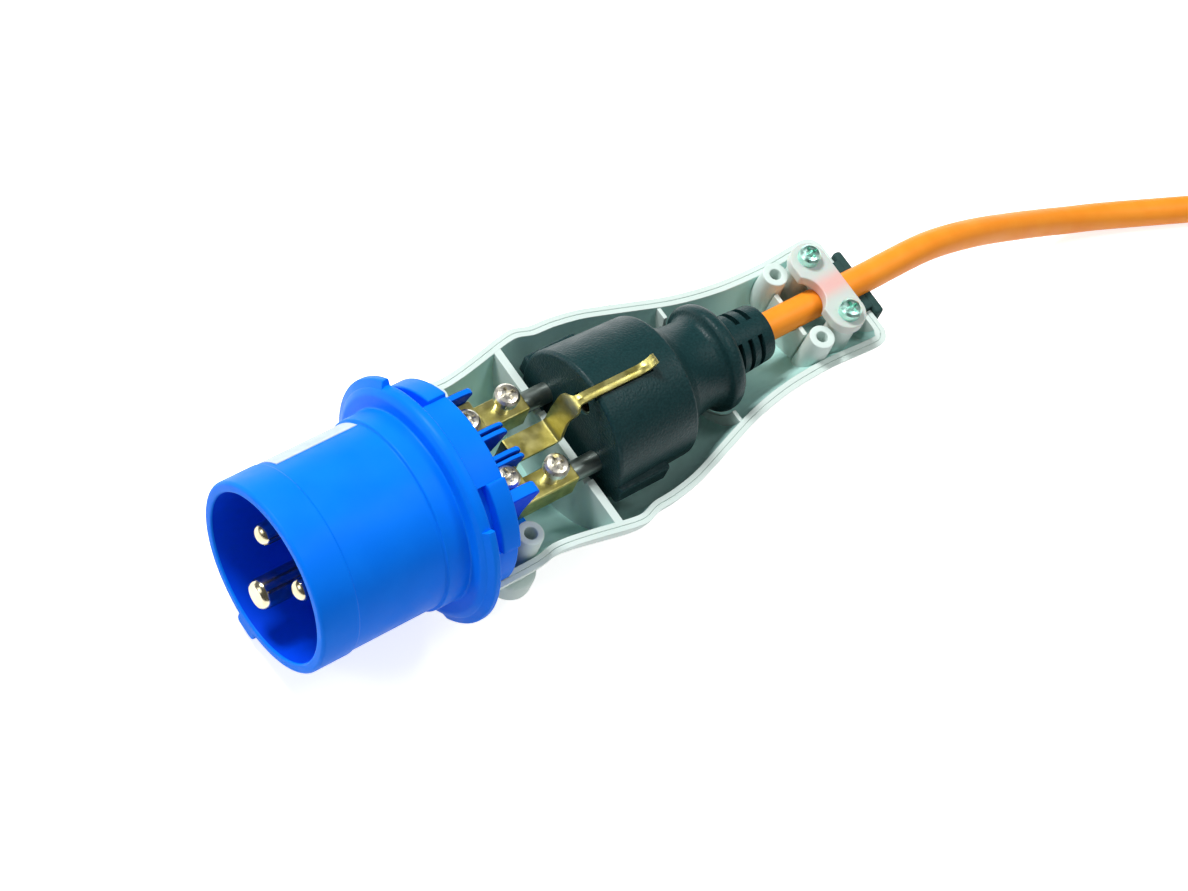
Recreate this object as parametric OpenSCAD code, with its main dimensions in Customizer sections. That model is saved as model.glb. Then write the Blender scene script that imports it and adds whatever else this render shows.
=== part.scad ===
// Plug adapter: a blue industrial plug whose lower housing holds an earthed mains plug and its cord.
// Millimetres. +X runs from the pin end to the cord, +Z is up, and Z 0 is the surface that it lies on.

/* [Blue plug] */
// Outer diameter of the pin shroud
shroud_d = 43; // [40:0.5:46]
// Wall thickness of the pin shroud at its mouth
shroud_wall = 2.1; // [1.5:0.1:3]
// Depth of the pin shroud from its mouth to the base wall
shroud_depth = 37.5; // [34:0.5:40]
// Diameter of the stop flange over its top and bottom
flange_d = 54; // [50:0.5:58]
// Diameter of the stop flange over its two sides
flange_side_d = 56.8; // [52:0.2:60]
// Diameter of the ring behind the flange
ring_d = 46.8; // [44:0.2:50]

/* [Blue plug pins] */
// Diameter of the line and neutral pins
pin_d = 5; // [4:0.1:6]
// Diameter of the earth pin
earth_pin_d = 7; // [6:0.1:8]
// Radius of the circle that the three pins stand on
pin_circle_r = 8.3; // [7:0.1:10]

/* [Terminals] */
// Width of each terminal bar
bar_w = 6; // [5:0.1:8]
// Length of each terminal bar
bar_l = 23; // [18:0.5:28]

/* [Mains plug held inside] */
// Diameter of the mains plug at its front face
inner_d = 35.4; // [33:0.2:38]
// Distance between the mains plug's two pins
inner_pin_gap = 19; // [17:0.1:20]
// Diameter of the mains plug's pins
inner_pin_d = 4.8; // [4:0.1:5]
// Length of the mains plug's pins in front of its face
inner_pin_l = 19; // [17:0.1:20]

/* [Lower housing] */
// Wall thickness of the lower housing
wall = 2.5; // [1.8:0.1:3.5]
// Height of the parting plane below the plug's axis
split_drop = 3.2; // [1:0.1:6]

/* [Cord] */
// Diameter of the cord
cord_d = 6.8; // [5:0.1:9]
// Straight length of the folded cord's runs
hank_run = 71; // [50:1:100]
// Diameter of the far-end socket
socket_d = 44; // [40:0.5:50]

/* [Hidden] */
$fn = 96;
overall_l = 164.4;
axis_h = flange_d / 2;
shroud_r = shroud_d / 2;
cavity_r = shroud_r - shroud_wall;
flange_x = 36.8;
flange_back = 40;
base_back = 42;
ring_back = 48.2;
ring_low_r = 21.9;
pin_y = pin_circle_r * cos(30);
pin_z = pin_circle_r * sin(30);
bar_x = 50;
bar_y = inner_pin_gap / 2;
bar_back = bar_x + bar_l;
inner_z = -1.5;
inner_x = 80.1;
inner_r = inner_d / 2;
pin_r = inner_pin_d / 2;
cord_r = cord_d / 2;
split_z = -split_drop;
clamp_x = 151.2;
post_y = 7.9;
boss_x = 143.8;
boss_y = 9.1;
front_boss_x = 55.6;
front_boss_y = 18.4;
end_wall_x = 159.4;
housing_back = 162;

// Outline of the lower housing, as distance from the mouth and radius about the plug's axis
housing_key = [[40.2, 24.7], [48, 24.7], [56, 24.6], [61, 23.85], [66, 24.25], [72, 25.3], [78, 26.5],
    [81, 27], [83.5, 27.05], [87, 26], [90, 25.8], [93, 25.57], [99, 24.55], [105, 22.78], [114, 19.9],
    [120, 18.1], [126, 16.8], [132, 15.9], [138, 15.45], [146, 15.3], [154, 15.75], [158.5, 15.9],
    [160.8, 15], [162, 12.9]];

// Path of the free cord from the mains plug's strain relief to the fold, as placed on the surface
lead_route = [[50.8, 0, 25.5], [66, 0, 25.5], [82, 0, 25.5], [92, 0.2, 25.4], [102, 0.4, 24.5],
    [112, 0.1, 22], [122, -0.4, 18.4], [132, -1.2, 14.4], [142, -2.2, 10.4], [152, -3.6, 6.8],
    [162, -5.7, 4.5], [172, -8.9, 3.5], [182, -12.7, 3.4], [194, -17.3, 3.4], [206, -21.4, 3.4],
    [216, -24.2, 3.4], [225, -26.1, 3.4]];

// Folded cord: first end centre, and the middle radii of its inner and outer turns
hank_x = 248;
hank_in = 21;
hank_out = 27.8;
hank_h = 2 * cord_d;
tail_y = -(hank_in + hank_out) / 2;
tail_z = hank_h + cord_r;

// Far-end socket: start of its strain relief and its axis
socket_x = 366;
socket_y = -8;
socket_r = socket_d / 2;

// Path of the cord's last run from the top of the fold to the socket
tail_route = [[250, tail_y, tail_z], [268, tail_y, tail_z], [286, tail_y, tail_z], [304, tail_y, tail_z],
    [318, -23.6, 17.1], [330, -20.6, 17.9], [341, -15.4, 19.8], [351, -10.4, 21.5], [360, socket_y, socket_r],
    [socket_x, socket_y, socket_r]];

// One coordinate of a smooth curve through four neighbouring points
function blend(a, b, c, d, t) =
    0.5 * (2 * b + (c - a) * t + (2 * a - 5 * b + 4 * c - d) * t * t + (3 * b - a - 3 * c + d) * t * t * t);

// Point i of a list, with the ends repeated
function held(p, i) = p[max(0, min(len(p) - 1, i))];

// Smooth curve through a list of points, with n steps between neighbours
function smooth(p, n) = concat(
    [for (i = [0:len(p) - 2]) for (k = [0:n - 1])
        blend(held(p, i - 1), p[i], p[i + 1], held(p, i + 2), k / n)],
    [p[len(p) - 1]]);

// Unit vector
function unit(v) = v / norm(v);

// Direction of a route at point i
function heading(p, i) = unit(held(p, i + 1) - held(p, i - 1));

// Ring of points around a route at point i
function ring(p, i, r, sides) =
    let (t = heading(p, i), s = unit(cross(t, [0, 0, 1])), u = cross(s, t))
    [for (k = [0:sides - 1]) p[i] + r * (cos(360 * k / sides) * s + sin(360 * k / sides) * u)];

// From plug coordinates, with X from the mouth and Z from the plug's axis, to where it lies
module place() translate([-overall_l / 2, 0, axis_h]) children();

// Solid of revolution about the plug's axis; angles start at the bottom and turn towards +Y
module turned(points, sweep = 360, from = 0)
    rotate([0, 90, 0]) rotate([0, 0, from]) rotate_extrude(angle = sweep)
        polygon([for (p = points) [p[1], p[0]]]);

// Round bar along X
module bar_along_x(x0, x1, y, z, r) translate([x0, y, z]) rotate([0, 90, 0]) cylinder(h = x1 - x0, r = r);

// Upright round bar
module post(x, y, z0, z1, r) translate([x, y, z0]) cylinder(h = z1 - z0, r = r);

// Box between two corners
module box(a, b) translate(a) cube(b - a);

// Side outline in X and Z, given width about a Y position
module plate(points, y, w) translate([0, y + w / 2, 0]) rotate([90, 0, 0]) linear_extrude(w) polygon(points);

// Tube swept along a route
module tube(p, r, sides) {
    n = len(p);
    points = [for (i = [0:n - 1]) for (q = ring(p, i, r, sides)) q];
    walls = [for (i = [0:n - 2]) for (k = [0:sides - 1])
        [i * sides + k, i * sides + (k + 1) % sides, (i + 1) * sides + (k + 1) % sides, (i + 1) * sides + k]];
    first = [[for (k = [sides - 1:-1:0]) k]];
    last = [[for (k = [0:sides - 1]) (n - 1) * sides + k]];
    polyhedron(points, concat(walls, first, last));
}

// Round screw with a cross recess, given its head's top, head size and the end of its shank
module screw(x, y, top, head_r, head_h, shank_r, shank_z) {
    difference() {
        union() {
            translate([x, y, 0]) rotate_extrude() polygon([[0, top - head_h], [head_r, top - head_h],
                [head_r, top - 0.7], [head_r * 0.8, top - 0.2], [head_r * 0.5, top], [0, top]]);
            post(x, y, shank_z, top - head_h + 0.1, shank_r);
        }
        translate([x, y, top]) {
            cube([head_r * 1.2, 0.8, 2], center = true);
            cube([0.8, head_r * 1.2, 2], center = true);
        }
    }
}

// Pin with a rounded tip, a plain body, a shoulder in the base wall and a thinner stud behind it
module pin(y, z, r, tip, back, stud_r, stud_back)
    translate([0, y, z]) turned([[tip, 0], [tip, r * 0.45], [tip + 0.5, r * 0.8], [tip + 1.6, r],
        [shroud_depth, r], [shroud_depth, r + 0.3], [back, r + 0.3], [back, stud_r], [stud_back, stud_r],
        [stud_back, 0]]);

// Separator fin of the blue plug, pointed at its free end
module fin(y, top, low, tip, w)
    plate([[base_back - 1, low], [base_back - 1, top], [tip - 6, top], [tip, top - 1.2], [tip - 2.5, top - 7],
        [tip - 4, low]], y, w);

module plug_body() color("dodgerblue") place() difference() {
    union() {
        turned([[0, cavity_r], [0, shroud_r - 0.2], [0.5, shroud_r + 0.3], [9, shroud_r + 0.3],
            [9.3, shroud_r], [31, shroud_r], [31.2, shroud_r + 0.7], [flange_x, shroud_r + 0.7],
            [flange_x, 25.2], [37.6, flange_d / 2 - 0.4], [38.5, flange_d / 2], [flange_back, flange_d / 2],
            [flange_back, ring_low_r], [ring_back, ring_low_r], [ring_back, 20.2], [base_back, 20.2],
            [base_back, 0], [shroud_depth, 0], [shroud_depth, cavity_r]]);
        for (a = [45, 225])
            turned([[37.4, 26], [38.6, flange_side_d / 2], [flange_back, flange_side_d / 2],
                [flange_back, 26]], 90, a);
        intersection() {
            turned([[flange_back - 0.1, 21.5], [flange_back - 0.1, ring_d / 2], [ring_back - 0.5, ring_d / 2],
                [ring_back, ring_d / 2 - 0.5], [ring_back, 21.5]]);
            box([30, -40, split_z + 0.2], [60, 40, 40]);
        }
        for (s = [-1, 1]) bar_along_x(base_back - 1, bar_x, s * pin_y, pin_z, 4.6);
        bar_along_x(base_back - 1, bar_x, 0, -pin_circle_r, 5.6);
        for (s = [-1, 1]) {
            fin(s * 13.35, 10.8, -5, 59.8, 1.6);
            fin(s * 4.15, 9.4, -5, 62, 1.2);
            fin(s * 2.5, 9.4, -1, 62, 1.4);
            box([base_back - 1, s * 8.7 - 5.5, -6.6], [60, s * 8.7 + 5.5, -5]);
        }
        translate([0.5, 0, 0]) rotate([90, 0, 90]) linear_extrude(flange_x)
            polygon([[-3.2, 1 - shroud_r], [-3.2, -24.1], [-2.8, -25], [-1.9, -25.4], [1.9, -25.4],
                [2.8, -25], [3.2, -24.1], [3.2, 1 - shroud_r]]);
        for (a = [113, 207])
            turned([[43.6, 22.4], [43.6, 24.3], [ring_back - 0.4, 24.3], [ring_back, 23.9], [ring_back, 22.4]],
                40, a);
    }
    for (s = [-1, 1]) bar_along_x(30, bar_x, s * pin_y, pin_z, pin_d / 2 + 0.3);
    bar_along_x(30, bar_x, 0, -pin_circle_r, earth_pin_d / 2 + 0.3);
    for (a = [113, 207])
        turned([[flange_back, 21.4], [flange_back, 25], [43.6, 25], [43.6, 21.4]], 40, a);
}

module line_pin() color("silver") place() pin(-pin_y, pin_z, pin_d / 2, 2.2, bar_x, 1.7, 56);

module neutral_pin() color("silver") place() pin(pin_y, pin_z, pin_d / 2, 2.2, bar_x, 1.7, 56);

module earth_pin() color("silver") place() pin(0, -pin_circle_r, earth_pin_d / 2, 0, bar_x, 2, 64.5);

// Terminal bar with the pin's stud in its raised front and the mains plug's pin in its back
module terminal_bar(s) {
    in = s > 0 ? bar_y - bar_w / 2 : -bar_y - bar_w / 2;
    block = s > 0 ? 5 : -bar_y - bar_w / 2;
    difference() {
        union() {
            box([bar_x, in, -5], [bar_back, in + bar_w, 1.9]);
            box([bar_x, block, -5], [bar_x + 9, block + bar_y + bar_w / 2 - 5, 7.2]);
        }
        bar_along_x(bar_x - 1, 56, s * pin_y, pin_z, 1.7);
        bar_along_x(60.5, bar_back + 1, s * bar_y, inner_z, pin_r + 0.05);
        post(67, s * bar_y, 0, 3, 1.6);
        post(54.8, s * 7.6, 1.5, 8, 1.5);
    }
}

module line_terminal_bar() color("goldenrod") place() terminal_bar(-1);

module neutral_terminal_bar() color("goldenrod") place() terminal_bar(1);

module front_terminal_screws() color("gainsboro") place()
    for (s = [-1, 1]) screw(54.8, s * 7.6, 10.4, 2.75, 2.2, 1.5, 6);

module rear_terminal_screws() color("gainsboro") place()
    for (s = [-1, 1]) screw(67, s * bar_y, 8.5, 2.85, 2.2, 1.6, inner_z + pin_r);

// Bent strip from the earth pin's stud to the mains plug's upper earth clip
module earth_strip() color("gold") place() difference() {
    union() {
        plate([[62.2, -12], [62.2, 1.8], [62.9, 2.5], [72.7, 2.5], [73.6, 3.4], [73.6, 10], [74.5, 10],
            [74.5, 2.6], [73.5, 1.6], [63.1, 1.6], [63.1, -12]], -0.25, 5.7);
        plate([[73.6, 9.8], [73.7, 11.6], [73.85, 13], [74.05, 14], [74.35, 14.8], [75.15, 14.35],
            [74.92, 13.7], [74.74, 12.85], [74.6, 11.5], [74.5, 9.8]], -0.72, 5.75);
        plate([[74.05, 14], [74.35, 14.8], [74.7, 15.4], [75.05, 15.85], [75.45, 16.2], [76, 15.47],
            [75.7, 15.2], [75.42, 14.85], [75.15, 14.35], [74.92, 13.7]], -1.3, 4);
        plate([[75.05, 15.85], [75.45, 16.2], [76, 16.48], [76.8, 16.64], [78, 16.7], [80, 16.68],
            [91.5, 16.35], [92.8, 16.5], [93.9, 16.9], [94.7, 17.7], [95.2, 18.65], [96, 18.25],
            [95.4, 17.15], [94.4, 16.15], [93.1, 15.65], [91.6, 15.45], [80, 15.78], [78, 15.8], [77, 15.77],
            [76.35, 15.65], [76, 15.47], [75.7, 15.2]], -1.615, 2.37);
    }
    bar_along_x(60, 66, 0, -pin_circle_r, 2);
}

module rating_label() color("white") place()
    turned([[10.5, shroud_r], [10.5, shroud_r + 0.15], [30.5, shroud_r + 0.15], [30.5, shroud_r]], 75, 65);

// Lower housing without its cuts: outer solid of revolution
module housing_outer() turned(concat([[40.2, 0]], smooth(housing_key, 4), [[162, 0]]));

// Space inside the lower housing
module housing_inner() {
    inside = [for (p = smooth(housing_key, 4)) if (p[0] < end_wall_x) [p[0], p[1] - wall]];
    turned(concat([[39, 0], [39, 22.2]], inside, [[end_wall_x, 13], [end_wall_x, 0]]));
}

module lower_housing() color("gainsboro") place() difference() {
    union() {
        difference() {
            housing_outer();
            housing_inner();
            box([30, -40, split_z], [180, 40, 40]);
        }
        intersection() {
            housing_outer();
            union() {
                difference() {
                    box([76.2, -30, -30], [78.2, 30, split_z]);
                    for (s = [-1, 1]) box([76, s * bar_y - 2.8, inner_z - 2.8], [79, s * bar_y + 2.8, 0]);
                }
                difference() {
                    box([91, -12, -30], [93, 12, -14]);
                    bar_along_x(90, 94, 0, inner_z, 17.35);
                }
                difference() {
                    box([116.5, -20, -30], [117.5, 20, split_z - 0.3]);
                    bar_along_x(116, 118, 0, inner_z, 13.4);
                }
                difference() {
                    box([142, -5.9, -20], [143.2, 5.9, -1.2]);
                    bar_along_x(141, 144, 0, inner_z, cord_r + 0.1);
                }
                for (s = [-1, 1]) {
                    post(front_boss_x, s * front_boss_y, -24, 1.9, 3);
                    post(boss_x, s * boss_y, -24, 1.9, 3);
                    post(clamp_x, s * post_y, -24, 2.4, 3.2);
                    box([boss_x, s * 8.5 - 0.6, -20], [clamp_x, s * 8.5 + 0.6, -4]);
                }
            }
        }
        for (s = [-1, 1]) post(front_boss_x, s * front_boss_y, -20, -14.5, 5.3);
    }
    for (s = [-1, 1]) {
        post(front_boss_x, s * front_boss_y, -12, 3, 1.45);
        post(boss_x, s * boss_y, -7, 3, 1.35);
        post(clamp_x, s * post_y, -6, 3, 1.2);
    }
    box([end_wall_x - 1, -6.9, -10.5], [170, 6.9, 10]);
    box([70, -10, -40], [95, 10, -axis_h]);
}

// Rubber seal that sits in the slot of the end wall
module rear_seal() color("dimgray") place() difference() {
    union() {
        box([157.4, -6.7, -10.4], [end_wall_x, 6.7, -1.8]);
        box([end_wall_x, -6.8, -10.4], [housing_back, 6.8, -1.8]);
        box([housing_back, -8.9, -12], [overall_l, 8.9, -1.8]);
    }
    bar_along_x(150, 170, 0, inner_z, cord_r + 0.03);
}

// Cord clamp: two round ends, a narrower middle with a hollow front, and lips beside the cord
module cord_clamp() color("whitesmoke") place() difference() {
    union() {
        for (s = [-1, 1]) post(clamp_x, s * (post_y - 0.6), 2.4, 5.2, 4.6);
        box([clamp_x - 4.6, -post_y + 0.6, 2.4], [clamp_x + 4.6, post_y - 0.6, 5.2]);
        box([clamp_x - 1.5, -5.3, -0.6], [clamp_x + 4.6, 5.3, 3]);
    }
    post(clamp_x - 7.2, 0, -2, 8, 5.2);
    bar_along_x(clamp_x - 6, clamp_x + 6, 0, inner_z, cord_r + 0.03);
    box([clamp_x - 6, -cord_r - 0.03, -10], [clamp_x + 6, cord_r + 0.03, inner_z]);
    box([clamp_x - 6, -6, -10], [clamp_x + 6, 6, -0.6]);
    for (s = [-1, 1]) {
        post(clamp_x, s * post_y, 1, 8, 1.4);
        post(clamp_x, s * post_y, -3, 2.4, 3.4);
    }
}

module clamp_screws() color("silver") place()
    for (s = [-1, 1]) screw(clamp_x, s * post_y, 7.7, 2.5, 2.5, 1.2, -4);

// Mains plug: tapered front, waist, collar and slotted strain relief in one moulding
module inner_plug_body() color("dimgray") place() translate([0, 0, inner_z]) difference() {
    union() {
        turned([[inner_x, 0], [inner_x, inner_r - 0.6], [inner_x + 0.6, inner_r], [102.2, inner_r - 0.95],
            [102.7, 16.2], [103.2, 15.2], [104.4, 13.7], [106.5, 12.2], [109, 11.2], [112, 10.8],
            [114.8, 10.9], [115.8, 11.2], [116.2, 11.7], [116.4, 12.2], [116.9, 12.65], [117.6, 12.75],
            [118.8, 12.6], [119.6, 12.1], [120.1, 11.2], [120.2, 7.5], [132.2, 6.7], [133, 6.1], [133, 0]]);
        for (s = [-1, 1])
            box([inner_x + 0.9, s * 17 - 1.9, -4.5], [inner_x + 14, s * 17 + 1.9, -0.5]);
    }
    for (s = [-1, 1]) bar_along_x(inner_x - 1, inner_x + 10, s * bar_y, 0, pin_r);
    bar_along_x(inner_x - 1, inner_x + 14, 0, 10, 2.7);
    for (x = [123, 126, 129]) for (a = [23, 203])
        turned([[x - 0.65, 5], [x - 0.65, 9], [x + 0.65, 9], [x + 0.65, 5]], 80, a);
    for (x = [125.6, 128.8]) for (a = [122, 302])
        turned([[x - 0.65, 5], [x - 0.65, 9], [x + 0.65, 9], [x + 0.65, 5]], 50, a);
    box([inner_x - 1, -3.1, inner_r - 2.2], [98, -0.1, 25]);
    box([inner_x - 1, 0.1, -25], [98, 3.1, 2.2 - inner_r]);
}

// One round pin of the mains plug
module mains_pin(s) translate([0, s * bar_y, inner_z]) turned([[inner_x - inner_pin_l, 0],
    [inner_x - inner_pin_l, 1.2], [inner_x - inner_pin_l + 0.8, 2.1], [inner_x - inner_pin_l + 1.8, pin_r],
    [inner_x + 10, pin_r], [inner_x + 10, 0]]);

module inner_plug_line_pin() color("silver") place() mains_pin(-1);

module inner_plug_neutral_pin() color("silver") place() mains_pin(1);

module inner_plug_earth_clips() color("silver") place() translate([0, 0, inner_z]) {
    plate([[inner_x + 0.3, inner_r - 2.2], [inner_x + 0.3, inner_r - 1], [inner_x + 0.9, inner_r - 0.6],
        [98, inner_r - 1.1], [98, inner_r - 2.2]], -1.6, 2.6);
    plate([[inner_x + 0.3, 2.2 - inner_r], [98, 2.2 - inner_r], [98, 1.1 - inner_r],
        [inner_x + 0.9, 0.6 - inner_r], [inner_x + 0.3, 1 - inner_r]], 1.6, 2.6);
}

module inner_plug_earth_socket() color("silver") place() translate([0, 0, inner_z + 10]) difference() {
    bar_along_x(inner_x + 0.6, inner_x + 14, 0, 0, 2.7);
    bar_along_x(inner_x, inner_x + 12.5, 0, 0, 2.2);
}

module cord_lead() color("darkorange") tube(lead_route, cord_r, 12);

// Flat shape with straight sides and round ends
module stadium(r) {
    translate([hank_x, -r]) square([hank_run, 2 * r]);
    translate([hank_x, 0]) circle(r = r);
    translate([hank_x + hank_run, 0]) circle(r = r);
}

module cord_hank() color("darkorange") linear_extrude(hank_h) difference() {
    stadium(hank_out + cord_r);
    stadium(hank_in - cord_r);
}

module cord_tail() color("darkorange") tube(tail_route, cord_r, 12);

// Strap over the folded cord's near runs and the last run on top of them
module cord_tie() color("dimgray") translate([hank_x + hank_run / 2 - 5, 0, 0]) rotate([90, 0, 90])
    linear_extrude(10) difference() {
        polygon([[-32.2, 0], [-32.2, 14.4], [-28.6, 21.4], [-20.2, 21.4], [-16.6, 14.4], [-16.6, 0]]);
        polygon([[-31.2, -1], [-31.2, 13.6], [-27.9, 20.4], [-20.9, 20.4], [-17.6, 13.6], [-17.6, -1]]);
    }

// From socket coordinates, with X from the strain relief's end and Z from the socket's axis
module at_socket() translate([socket_x, socket_y, socket_r]) children();

module socket_body() color("dimgray") at_socket() difference() {
    turned([[0, 0], [0, 5.2], [22, 7.4], [22.6, 12], [25, 15.5], [30, 18.8], [36, 20.8], [42, socket_r - 0.4],
        [46, socket_r], [88.5, socket_r], [90, socket_r - 1], [90, 0]]);
    bar_along_x(66, 91, 0, 0, 19.5);
    for (x = [6, 10, 14, 18]) for (a = [55, 235])
        turned([[x - 0.7, 4.4], [x - 0.7, 9], [x + 0.7, 9], [x + 0.7, 4.4]], 70, a);
}

module socket_insert() color("dimgray") at_socket() difference() {
    bar_along_x(66, 72.5, 0, 0, 19.5);
    for (s = [-1, 1]) bar_along_x(65, 73, s * bar_y, 0, 3.1);
    for (s = [-1, 1]) box([65, -2.2, s * 18 - 1.7], [73, 2.2, s * 18 + 1.7]);
}

module socket_contacts() color("goldenrod") at_socket() for (s = [-1, 1]) difference() {
    bar_along_x(66, 71.8, s * bar_y, 0, 3.1);
    bar_along_x(67, 74, s * bar_y, 0, 2.5);
}

module socket_earth_clips() color("silver") at_socket() for (s = [-1, 1])
    scale([1, 1, s]) plate([[66, 17.4], [66, 18.2], [84, 18.2], [87, 19], [87.2, 18.2], [84.5, 17.1],
        [79, 16.4], [74, 17.1]], 0, 4);

plug_body();
line_pin();
neutral_pin();
earth_pin();
line_terminal_bar();
neutral_terminal_bar();
front_terminal_screws();
rear_terminal_screws();
earth_strip();
rating_label();
lower_housing();
rear_seal();
cord_clamp();
clamp_screws();
inner_plug_body();
inner_plug_line_pin();
inner_plug_neutral_pin();
inner_plug_earth_clips();
inner_plug_earth_socket();
cord_lead();
cord_hank();
cord_tail();
cord_tie();
socket_body();
socket_insert();
socket_contacts();
socket_earth_clips();
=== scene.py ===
# %% [markdown]
# # An opened plug adapter
# The object is a plug adapter that lies open on a table. A blue industrial plug is joined to a pale grey
# half housing. A black mains plug lies in that housing, its pins sit in two brass terminal bars, and its
# orange cord leaves at the back. This lesson loads the measured model first. It then makes the visible
# pieces again with rounded edges and real finishes, in the same place and at the same size.

# %% Start: load the measured model
import math
import bmesh
import bpy
from mathutils import Matrix, Vector


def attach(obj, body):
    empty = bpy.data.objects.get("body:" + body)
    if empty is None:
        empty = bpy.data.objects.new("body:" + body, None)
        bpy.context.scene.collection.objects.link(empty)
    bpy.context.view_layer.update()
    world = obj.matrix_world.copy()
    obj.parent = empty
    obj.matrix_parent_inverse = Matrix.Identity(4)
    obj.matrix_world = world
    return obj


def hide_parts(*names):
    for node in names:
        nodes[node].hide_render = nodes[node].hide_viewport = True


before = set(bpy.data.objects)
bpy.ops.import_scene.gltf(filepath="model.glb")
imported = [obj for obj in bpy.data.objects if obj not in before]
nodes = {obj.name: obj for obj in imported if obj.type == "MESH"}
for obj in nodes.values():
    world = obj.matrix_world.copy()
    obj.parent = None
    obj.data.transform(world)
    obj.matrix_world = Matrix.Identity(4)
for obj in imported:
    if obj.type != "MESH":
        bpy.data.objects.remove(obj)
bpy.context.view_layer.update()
print("measured nodes:", len(nodes))

# %% [markdown]
# ## Units and places
# All shapes are drawn in millimetres in the plug's own coordinates: X runs from the shroud's mouth to the
# cord, and Z is measured from the plug's axis. One matrix then puts a finished mesh in its place in metres,
# so every object stays at the origin and its place is in its mesh.

# %% Places
MM = 0.001
PLUG = Matrix.Translation((-0.0822, 0.0, 0.027)) @ Matrix.Scale(MM, 4)
TABLE = Matrix.Scale(MM, 4)
SPLIT_Z = -3.2
MAINS_Z = -1.5
BAR_Y = 9.5
print("plug axis is", round(PLUG.translation.z * 1000, 1), "mm above the table")

# %% [markdown]
# ## Camera
# The camera stands where the photograph was taken from. It looks steeply down along the adapter and is
# turned a little about its own view, so upright edges lean to the right. Its three directions and its place
# come from a fit to the pins, the flange and the housing's rim.

# %% Camera
camera_data = bpy.data.cameras.new("photo_camera")
camera_data.sensor_width = 36.0
camera_data.lens = 101.79
camera_data.clip_start = 0.05
camera_data.clip_end = 20.0
camera = bpy.data.objects.new("photo_camera", camera_data)
bpy.context.scene.collection.objects.link(camera)
right = Vector((0.789162, -0.560326, 0.251511))
up = Vector((0.402799, 0.781308, 0.476772))
back = Vector((-0.463655, -0.274942, 0.842277))
turn = Matrix((right, up, back)).transposed().to_4x4()
camera.matrix_world = Matrix.Translation((-0.336905, -0.206071, 0.637298)) @ turn
bpy.context.scene.camera = camera
print("camera height:", round(camera.matrix_world.translation.z, 3), "m")

# %% [markdown]
# ## Finishes: small helpers
# A colour is written as the hex value that the eye sees, and one function turns it into the linear numbers
# that Blender works with. Another function adds one shader node with its settings and its links. Three more
# give a surface what moulded and turned parts have: a drifting colour, a fine grain and an uneven gloss.
# Their sizes are real sizes in millimetres.

# %% Finish helpers
def tone(hex_text):
    """Linear colour from an sRGB hex value."""
    parts = [int(hex_text[i:i + 2], 16) / 255 for i in (1, 3, 5)]
    linear = [c / 12.92 if c <= 0.04045 else ((c + 0.055) / 1.055) ** 2.4 for c in parts]
    return (*linear, 1.0)


def node(material, kind, settings=None, inputs=None):
    """Adds one shader node, sets its properties, and fills its sockets with values or links."""
    made = material.node_tree.nodes.new(kind)
    for name, value in (settings or {}).items():
        setattr(made, name, value)
    for name, value in (inputs or {}).items():
        socket = made.inputs[name]
        if isinstance(value, bpy.types.NodeSocket):
            material.node_tree.links.new(value, socket)
        else:
            socket.default_value = value
    return made


def finish(name, **values):
    """A material with one Principled shader, and the constant values set on its sockets."""
    material = bpy.data.materials.new(name)
    material.use_nodes = True
    shader = material.node_tree.nodes["Principled BSDF"]
    for socket, value in values.items():
        shader.inputs[socket.replace("_", " ")].default_value = value
    return material, shader


def drive(material, source, shader, socket):
    """Links a node's output to a socket of the shader."""
    material.node_tree.links.new(source, shader.inputs[socket])


def place_of(material):
    """The object's own coordinates, in metres."""
    return node(material, "ShaderNodeTexCoord").outputs["Object"]


def clouded(material, shader, size, first, second):
    """The colour drifts between two near tones over the given size in millimetres."""
    cloud = node(material, "ShaderNodeTexNoise", None,
                 {"Vector": place_of(material), "Scale": 1 / (size * MM), "Detail": 4.0})
    ramp = node(material, "ShaderNodeValToRGB", None, {"Fac": cloud.outputs["Fac"]})
    low, high = ramp.color_ramp.elements
    low.position, high.position = 0.35, 0.65
    low.color, high.color = tone(first), tone(second)
    drive(material, ramp.outputs["Color"], shader, "Base Color")


def grained(material, shader, size, depth, strength):
    """Fine bumps of the given size and depth in millimetres."""
    grain = node(material, "ShaderNodeTexNoise", None,
                 {"Vector": place_of(material), "Scale": 1 / (size * MM), "Detail": 2.0})
    bump = node(material, "ShaderNodeBump", None,
                {"Strength": strength, "Distance": depth * MM, "Height": grain.outputs["Fac"]})
    drive(material, bump.outputs["Normal"], shader, "Normal")


def glossed(material, shader, size, low, high):
    """The roughness wanders between two values over the given size in millimetres."""
    smear = node(material, "ShaderNodeTexNoise", None,
                 {"Vector": place_of(material), "Scale": 1 / (size * MM), "Detail": 5.0})
    span = node(material, "ShaderNodeMapRange", None,
                {"Value": smear.outputs["Fac"], "From Min": 0.3, "From Max": 0.7,
                 "To Min": low, "To Max": high})
    drive(material, span.outputs["Result"], shader, "Roughness")


print("finish helpers ready")

# %% [markdown]
# ## Plastics
# The blue plug is moulded polyamide with a satin skin: a deep, even blue with hardly any red in it. Inside
# the shroud and on the sides of the fins, its colour is painted darker as shade. The housing is pale grey
# ABS with a cool tint. Its inside has a duller skin, and its colour is painted greener there as shade. The
# mains plug is soft black PVC with a fine leathery grain that catches the light as small specks. The clamp
# is milky polyamide, with a painted pink glow where the cord under it would shine through the thin arch.

# %% Plastics
# Blue polyamide: saturated blue, satin gloss, faint moulding clouds.
blue, blue_shader = finish("blue_polyamide", IOR=1.53, Specular_IOR_Level=0.06)
clouded(blue, blue_shader, 9.0, "#0078FA", "#037CFD")
grained(blue, blue_shader, 0.5, 0.02, 0.12)
glossed(blue, blue_shader, 6.0, 0.36, 0.5)
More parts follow.
